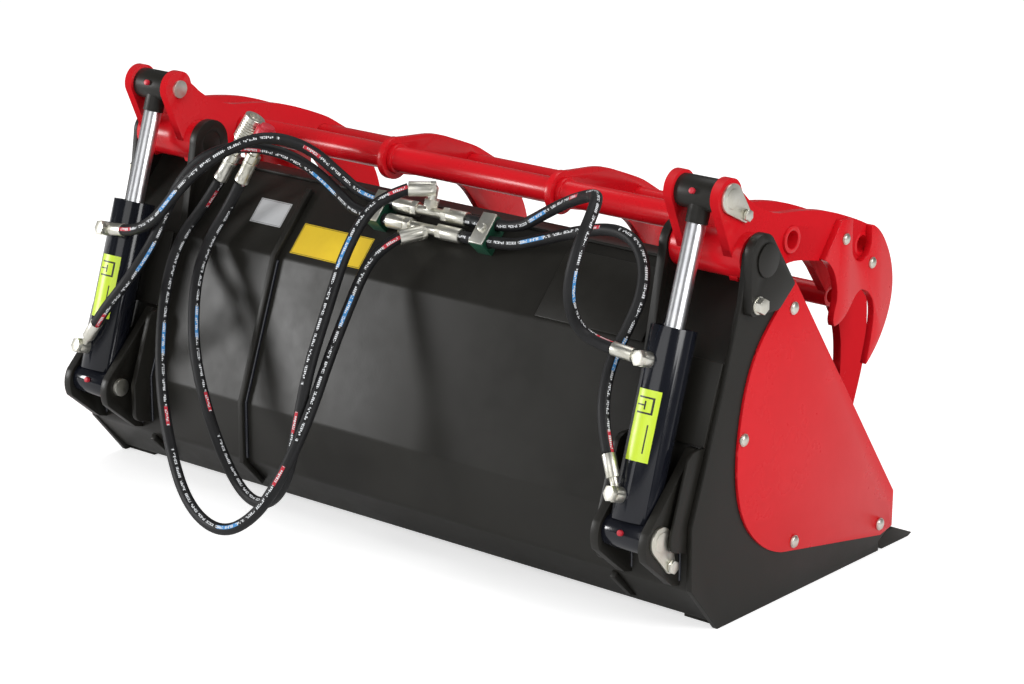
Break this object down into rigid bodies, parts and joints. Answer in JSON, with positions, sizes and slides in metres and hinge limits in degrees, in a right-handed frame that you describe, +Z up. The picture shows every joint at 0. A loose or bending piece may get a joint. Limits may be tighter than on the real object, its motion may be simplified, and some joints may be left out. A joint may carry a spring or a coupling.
{
  "type": "silage grab bucket",
  "caption": "Loader bucket with a hinged hydraulic grab on top: welded bucket, clawed grab frame, side cutters, a cylinder at each side and hoses on the back.",
  "frame": {"origin": "bottom centre of the bucket and grab, on the ground", "axes": "+X to the right seen from the loader, +Y towards the bucket's mouth, +Z up"},
  "size_m": [1.329, 0.8168, 0.68],
  "materials": {
    "black_paint": "satin",
    "cap_rubber": "matt",
    "chrome": "polished",
    "clamp_plastic": "moulded",
    "hose_rubber": "matt",
    "red_paint": "gloss",
    "wear_steel": "satin",
    "zinc": "zinc plated"
  },
  "bodies": {
    "root": {"back_ribs": "black_paint", "bucket_shell": "black_paint", "capped_coupler": "zinc", "clamp_bolts": "zinc", "clamp_covers": "zinc", "cutting_edge": "wear_steel", "cylinder_clevis_left": "black_paint", "cylinder_clevis_right": "black_paint", "doubler_plates": "black_paint", "dust_cap": "cap_rubber", "ear_plate_right": "black_paint", "feed_hose_lower": "hose_rubber", "feed_hose_upper": "hose_rubber", "floor_runners": "black_paint", "hose_clamps": "clamp_plastic", "hose_left_bottom": "hose_rubber", "hose_left_top": "hose_rubber", "hose_right_bottom": "hose_rubber", "hose_right_top": "hose_rubber", "lower_pin_bolts": "zinc", "lower_pins": "zinc", "lower_tee": "zinc", "pivot_lock_bolts": "zinc", "pivot_lug_left": "black_paint", "pivot_lug_right": "black_paint", "pivot_pins": "black_paint", "plain_coupler": "zinc", "shield_bolts": "zinc", "side_plate_left": "black_paint", "side_plate_right": "black_paint", "side_shield_left": "red_paint", "side_shield_right": "red_paint", "stiffener_bars": "black_paint", "top_rail": "black_paint", "upper_tee": "zinc"},
    "grab": {"arm_inner_left": "red_paint", "arm_inner_right": "red_paint", "arm_outer_left": "red_paint", "arm_outer_right": "red_paint", "cutter_bolts": "zinc", "cutter_plate_left": "red_paint", "cutter_plate_right": "red_paint", "front_tube": "red_paint", "lower_tube": "red_paint", "main_tube": "red_paint", "pivot_tubes": "red_paint", "tines": "red_paint", "top_pin_bolts": "zinc", "top_pins": "zinc"},
    "barrel_right": {"barrel_right": "black_paint", "gland_right": "black_paint", "port_fittings_right": "zinc"},
    "rod_right": {"rod_right": "chrome", "rod_eye_right": "black_paint"},
    "barrel_left": {"barrel_left": "black_paint", "gland_left": "black_paint", "port_fittings_left": "zinc"},
    "rod_left": {"rod_left": "chrome", "rod_eye_left": "black_paint"}
  },
  "joints": [
    {"name": "grab_hinge", "type": "hinge", "parent": "root", "child": "grab", "pos_m": [-0.0075, -0.1057, 0.556], "axis": [1, 0, 0], "range_deg": [0, 70]},
    {"name": "barrel_swing_right", "type": "hinge", "parent": "root", "child": "barrel_right", "pos_m": [0.5625, -0.3073, 0.167], "axis": [1, 0, 0], "range_deg": [0, 3.89], "deforming": ["hose_right_top", "hose_right_bottom"]},
    {"name": "rod_slide_right", "type": "slide", "parent": "barrel_right", "child": "rod_right", "axis": [0, 0.3153, 0.949], "range_m": [-0.1145, 0]},
    {"name": "barrel_swing_left", "type": "hinge", "parent": "root", "child": "barrel_left", "pos_m": [-0.5775, -0.3073, 0.167], "axis": [1, 0, 0], "range_deg": [0, 3.89], "deforming": ["hose_left_top", "hose_left_bottom"]},
    {"name": "rod_slide_left", "type": "slide", "parent": "barrel_left", "child": "rod_left", "axis": [0, 0.3153, 0.949], "range_m": [-0.1145, 0]}
  ],
  "couplings": [
    {"joint": "barrel_swing_right", "follows": "grab_hinge", "ratio": 0.054857},
    {"joint": "rod_slide_right", "follows": "grab_hinge", "m_per_rad": -0.09331},
    {"joint": "barrel_swing_left", "follows": "grab_hinge", "ratio": 0.054857},
    {"joint": "rod_slide_left", "follows": "grab_hinge", "m_per_rad": -0.09331}
  ]
}
